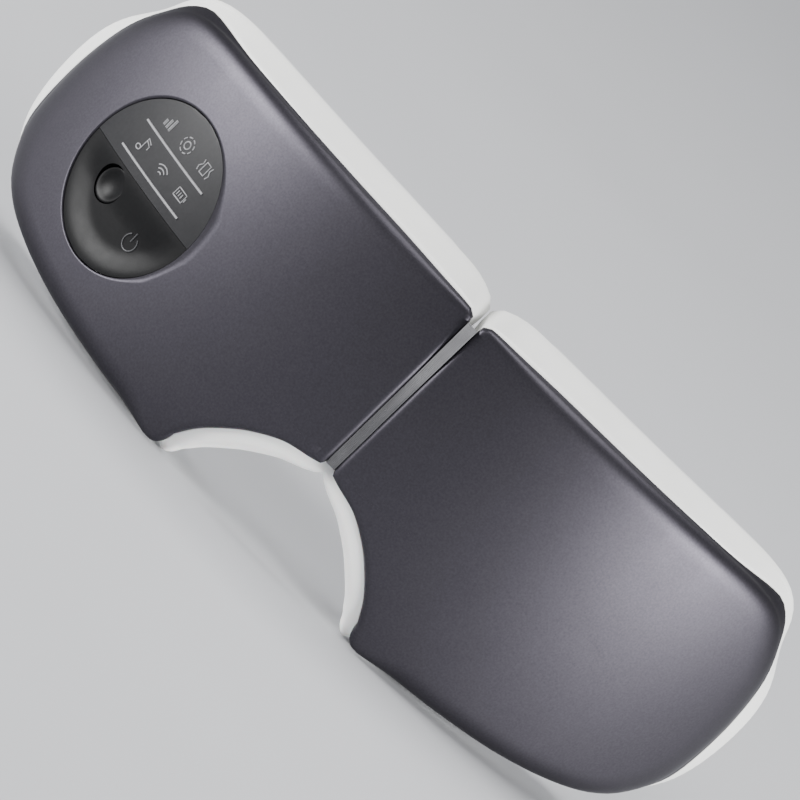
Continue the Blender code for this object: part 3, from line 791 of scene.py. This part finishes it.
class MASK_OT_control_panel(Maker):
    """Builds the round panel, its window and the sunk power button"""
    bl_idname = "eye_mask.control_panel"
    bl_label = "Control panel"

    def make(self):
        self.panel()
        self.window()
        self.button()

    def half_disc(self, low, high, depth_of, back, name):
        """A slice of the disc between two heights, as a grid that follows its round edge."""
        columns, rows, limit = 56, 30, 1 - 0.25 / PANEL_HALF_WIDTH
        front, rear = [], []
        for r in range(rows + 1):
            up = low + (high - low) * r / rows
            wide = PANEL_HALF_WIDTH * limit * math.sqrt(max(0.0, 1 - (up / (PANEL_HALF_HEIGHT * limit)) ** 2))
            wide = max(wide, 0.05)
            line_front, line_rear = [], []
            for k in range(columns + 1):
                right = wide * (2 * k / columns - 1)
                spot = panel_spot(right, up, 0)
                line_front.append(behind_cover(spot.x, spot.z, depth_of(spot.x, spot.z)))
                line_rear.append(behind_cover(spot.x, spot.z, back))
            front.append(line_front)
            rear.append(line_rear)
        bm = bmesh.new()
        top = [[bm.verts.new(placed(p, -1)) for p in line] for line in front]
        under = [[bm.verts.new(placed(p, -1)) for p in line] for line in rear]
        for grid in (top, under):
            for r in range(rows):
                for k in range(columns):
                    bm.faces.new((grid[r][k], grid[r][k + 1], grid[r + 1][k + 1], grid[r + 1][k]))
        border = ([(0, k) for k in range(columns)] + [(r, columns) for r in range(rows)]
                  + [(rows, k) for k in range(columns, 0, -1)] + [(r, 0) for r in range(rows, 0, -1)])
        for (r0, k0), (r1, k1) in zip(border, border[1:] + border[:1]):
            bm.faces.new((top[r0][k0], top[r1][k1], under[r1][k1], under[r0][k0]))
        bmesh.ops.recalc_face_normals(bm, faces=bm.faces)
        mesh = bpy.data.meshes.new(name)
        bm.to_mesh(mesh)
        bm.free()
        return mesh

    def panel(self):
        lowest = -PANEL_HALF_HEIGHT + 0.3
        mesh = self.half_disc(lowest, CREASE_Z - PANEL_Z,
                              lambda x, z: panel_depth(x, min(z, CREASE_Z - 0.001)), 3.1, "panel_dish")
        dish = add_piece("panel_dish", mesh, "moulded_black_abs", "left_half",
                         ["control_panel"], sharp=40)
        turn = math.asin(BUTTON_X / FRONT_RADIUS)
        bm = bmesh.new()
        bmesh.ops.create_cone(bm, cap_ends=True, segments=96, radius1=(BUTTON_RADIUS + 0.2) * MM,
                              radius2=(BUTTON_RADIUS + 0.2) * MM, depth=14 * MM)
        place = (Matrix.Translation(placed(behind_cover(BUTTON_X, BUTTON_Z, 2), -1))
                 @ Matrix.Rotation(-turn, 4, "Z") @ Matrix.Rotation(math.radians(90), 4, "X"))
        bm.transform(place)
        cutter_mesh = bpy.data.meshes.new("button_well")
        bm.to_mesh(cutter_mesh)
        bm.free()
        cutter = bpy.data.objects.new("button_well", cutter_mesh)
        bpy.context.scene.collection.objects.link(cutter)
        cut = dish.modifiers.new("well", "BOOLEAN")
        cut.operation = "DIFFERENCE"
        cut.object = cutter
        bpy.context.view_layer.update()
        depsgraph = bpy.context.evaluated_depsgraph_get()
        solid = bpy.data.meshes.new_from_object(dish.evaluated_get(depsgraph))
        dish.modifiers.clear()
        dish.data = solid
        bpy.data.objects.remove(cutter)

    def window(self):
        mesh = self.half_disc(CREASE_Z - PANEL_Z + 0.12, PANEL_HALF_HEIGHT - 0.3,
                              lambda x, z: 0.28, 2.2, "window_lens")
        add_piece("window_lens", mesh, "smoked_window", "left_half", ["icon_window"], sharp=40)

    def button(self):
        profile = [(0.02, 0.05), (1.0, 0.1), (2.0, 0.3), (2.9, 0.62), (3.6, 0.92), (4.0, 1.0), (4.25, 0.93),
                   (BUTTON_RADIUS, 0.7), (BUTTON_RADIUS, -1.5), (1.6, -1.5), (1.6, -1.9), (0.02, -1.9)]
        turn = math.asin(BUTTON_X / FRONT_RADIUS)
        centre = behind_cover(BUTTON_X, BUTTON_Z, 2.6)
        out = Vector((math.sin(turn), -math.cos(turn), 0))
        across = Vector((math.cos(turn), math.sin(turn), 0))
        rings = []
        for radius, height in profile:
            ring = []
            for k in range(64):
                angle = 2 * math.pi * k / 64
                ring.append(centre + out * height + across * (radius * math.cos(angle))
                            + Vector((0, 0, radius * math.sin(angle))))
            rings.append(ring)
        mesh = skin("power_key", rings, -1, caps=(True, True))
        add_piece("power_key", mesh, "moulded_black_abs", "button", ["power_button"],
                  sharp=50)


def arc(right, up, radius, start, end, steps=12, squash=1.0):
    return [(right + radius * math.cos(math.radians(start + (end - start) * k / steps)),
             up + squash * radius * math.sin(math.radians(start + (end - start) * k / steps)))
            for k in range(steps + 1)]


def frame_of(left, right, middle, half):
    """A closed rectangle of lines about a height."""
    low, high = middle - half, middle + half
    return [(left, low), (right, low), (right, high), (left, high), (left, low)]


class MASK_OT_panel_symbols(Maker):
    """Prints the generic symbols on the icon window and the power mark in the dish"""
    bl_idname = "eye_mask.panel_symbols"
    bl_label = "Panel symbols"

    def make(self):
        top, low = 14.2, 6.2
        lines = [[(-12.4, 10.2), (12.6, 10.2)], [(-12.6, 2.4), (12.6, 2.4)]]
        self.stroke("window_rules", lines, 0.26, shape().symbol_line * 1.9, "screen_printed_ink")
        marks = []
        for k, height in enumerate((1.5, 2.3, 3.1)):
            marks.append([(-8.6 + 1.1 * k, top - 1.6), (-8.6 + 1.1 * k, top - 1.6 + height)])
            marks.append([(-8.2 + 1.1 * k, top - 1.6), (-8.2 + 1.1 * k, top - 1.6 + height)])
        for k in range(8):
            marks.append(arc(0.4, top, 1.9, 45 * k + 8, 45 * k + 37, 4))
        marks.append(arc(0.4, top, 0.9, 0, 360, 16))
        marks.append(frame_of(7.6, 9.2, top, 1.4))
        for sign, at in ((-1, 6.7), (1, 10.1)):
            marks.append([(at, top - 1.5), (at + 0.35 * sign, top - 0.5), (at - 0.35 * sign, top + 0.5),
                          (at, top + 1.5)])
        marks.append(arc(-9.0, low - 1.2, 0.75, 0, 360, 12, 0.75))
        marks.append([(-8.25, low - 1.2), (-8.25, low + 1.9), (-6.6, low + 1.3)])
        marks.append([(-8.25, low + 1.3), (-6.6, low + 0.7), (-6.6, low - 0.2)])
        for radius in (0.8, 1.7, 2.6):
            marks.append(arc(0.4, low - 1.5, radius, 45, 135, 8))
        marks.append(frame_of(7.0, 10.2, low, 1.1))
        marks.append([(10.6, low - 0.45), (10.6, low + 0.45)])
        marks += [[(7.7 + 0.75 * k, low - 0.55), (7.7 + 0.75 * k, low + 0.55)] for k in range(3)]
        self.stroke("window_symbols", marks, 0.26, shape().symbol_line, "screen_printed_ink")
        power = [arc(7.4, -9.8, 2.1, 125, 415, 24), [(7.4, -9.6), (7.4, -7.1)]]
        self.stroke("power_mark", power, None, shape().symbol_line * 1.3, "debossed_mark")

    def stroke(self, name, lines, depth, radius, material):
        """Printed lines that follow the panel's face."""
        curve = bpy.data.curves.new(name, "CURVE")
        curve.dimensions = "3D"
        curve.bevel_depth = radius
        curve.bevel_resolution = 2
        curve.use_fill_caps = True
        for line in lines:
            points = []
            for (x0, z0), (x1, z1) in zip(line, line[1:]):
                steps = max(1, int(math.hypot(x1 - x0, z1 - z0) / 1.2))
                points += [(x0 + (x1 - x0) * k / steps, z0 + (z1 - z0) * k / steps) for k in range(steps)]
            points.append(line[-1])
            drawn = curve.splines.new("POLY")
            drawn.points.add(len(points) - 1)
            for point, (right, up) in zip(drawn.points, points):
                spot = panel_spot(right, up, 0)
                deep = depth if depth is not None else panel_depth(spot.x, spot.z) - 0.02
                point.co = (*placed(behind_cover(spot.x, spot.z, deep), -1), 1)
        obj = bpy.data.objects.new(name, curve)
        bpy.context.scene.collection.objects.link(obj)
        curve.materials.append(finish(material))
        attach(obj, "left_half")


NODE_FINISHES = {
    "hinge_leaf": "moulded_grey_nylon",
    "hinge_screw_upper": "turned_steel", "hinge_screw_lower": "turned_steel",
    "strap_anchor": "moulded_white_abs", "speaker": "moulded_black_abs", "vibration_motor": "turned_steel",
    "inner_frame": "moulded_grey_nylon", "airbag": "welded_airbag_film", "heating_film": "amber_heating_film",
    "hinge_pin": "turned_steel", "power_switch": "moulded_black_abs", "main_board": "green_circuit_board",
    "charging_board": "green_circuit_board", "charging_port": "turned_steel", "battery": "shrink_sleeve",
    "air_pump": "moulded_black_abs", "air_valve": "moulded_white_abs", "air_tube": "moulded_white_silicone",
}


class MASK_OT_hardware(Maker):
    """Gives the hinge, screws, strap anchors and inner parts their finishes"""
    bl_idname = "eye_mask.hardware"
    bl_label = "Hardware"

    def make(self):
        for name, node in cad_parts.items():
            plain = name.replace("left_", "").replace("right_", "")
            wanted = NODE_FINISHES.get(plain)
            if wanted is None:
                continue
            node.data.materials.clear()
            node.data.materials.append(finish(wanted))
            node.data.shade_smooth()
            node.data.set_sharp_from_angle(angle=math.radians(35))


class MASK_OT_stage(Maker):
    """Sets up the floor, the soft boxes and the camera"""
    bl_idname = "eye_mask.stage"
    bl_label = "Stage"

    def make(self):
        self.camera()
        self.floor()
        self.lights()

    def camera(self):
        elevation, roll, distance = math.radians(12.0), math.radians(45.9), 2.0
        target = Vector((0.0003, -DEPTH_MID * MM, BASE_Z * MM))
        data = bpy.data.cameras.new("camera")
        data.sensor_width = 36.0
        data.lens = 36.0 * distance / 0.1744
        data.clip_end = 20
        camera = bpy.data.objects.new("camera", data)
        bpy.context.scene.collection.objects.link(camera)
        back = Vector((0, -math.cos(elevation), math.sin(elevation)))
        camera.location = target + back * distance
        facing = (-back).to_track_quat("-Z", "Y").to_matrix().to_4x4()
        camera.matrix_world = (Matrix.Translation(camera.location) @ facing @ Matrix.Rotation(roll, 4, "Z"))
        bpy.context.scene.camera = camera

    def floor(self):
        mesh = bpy.data.meshes.new("floor")
        bm = bmesh.new()
        bmesh.ops.create_grid(bm, x_segments=2, y_segments=2, size=3)
        bm.to_mesh(mesh)
        bm.free()
        made, shader = new_finish("matt_studio_paper", "c3c4c7", {"Roughness": 0.9})
        speckle(made, shader, "c0c1c4", "c6c7ca", 300)
        mesh.materials.append(made)
        floor = bpy.data.objects.new("floor", mesh)
        bpy.context.scene.collection.objects.link(floor)

    def lights(self):
        world = bpy.data.worlds.new("studio")
        bpy.context.scene.world = world
        world.use_nodes = True
        world.node_tree.nodes["Background"].inputs["Color"].default_value = linear("dfe1e6")
        world.node_tree.nodes["Background"].inputs["Strength"].default_value = 0.3
        boxes = (("left_softbox", (-1.4, -0.5, 0.35), 0.7, 52.0),
                 ("right_softbox", (1.4, -0.55, 0.2), 0.7, 62.0),
                 ("top_softbox", (0.0, 0.3, 1.7), 1.2, 30.0))
        for name, place, size, power in boxes:
            data = bpy.data.lights.new(name, "AREA")
            data.energy = power
            data.size = size
            light = bpy.data.objects.new(name, data)
            light.location = place
            bpy.context.scene.collection.objects.link(light)
            aim = Vector((0, 0, 0.04)) - Vector(place)
            light.rotation_euler = aim.to_track_quat("-Z", "Y").to_euler()


class MASK_PT_parts(bpy.types.Panel):
    bl_label = "Eye Mask"
    bl_idname = "MASK_PT_parts"
    bl_space_type = "VIEW_3D"
    bl_region_type = "UI"
    bl_category = "Eye Mask"

    def draw(self, context):
        for group in (context.scene.mask_shape, context.scene.mask_colours):
            for key in group.__annotations__:
                self.layout.prop(group, key)
        for maker in MAKERS:
            self.layout.operator(maker.bl_idname)


MAKERS = (MASK_OT_stage, MASK_OT_front_covers, MASK_OT_rear_casings, MASK_OT_eye_cushions,
          MASK_OT_massage_pads, MASK_OT_nose_rims, MASK_OT_fold_strip, MASK_OT_control_panel,
          MASK_OT_panel_symbols, MASK_OT_hardware)
CLASSES = (MaskShape, MaskColours, *MAKERS, MASK_PT_parts)


def register():
    for cls in CLASSES:
        bpy.utils.register_class(cls)
    bpy.types.Scene.mask_shape = bpy.props.PointerProperty(type=MaskShape)
    bpy.types.Scene.mask_colours = bpy.props.PointerProperty(type=MaskColours)


def unregister():
    del bpy.types.Scene.mask_colours
    del bpy.types.Scene.mask_shape
    for cls in reversed(CLASSES):
        bpy.utils.unregister_class(cls)


def main():
    register()
    for maker in MAKERS:
        group, name = maker.bl_idname.split(".")
        getattr(getattr(bpy.ops, group), name)()
    bpy.context.view_layer.update()


if __name__ == "__main__":
    main()
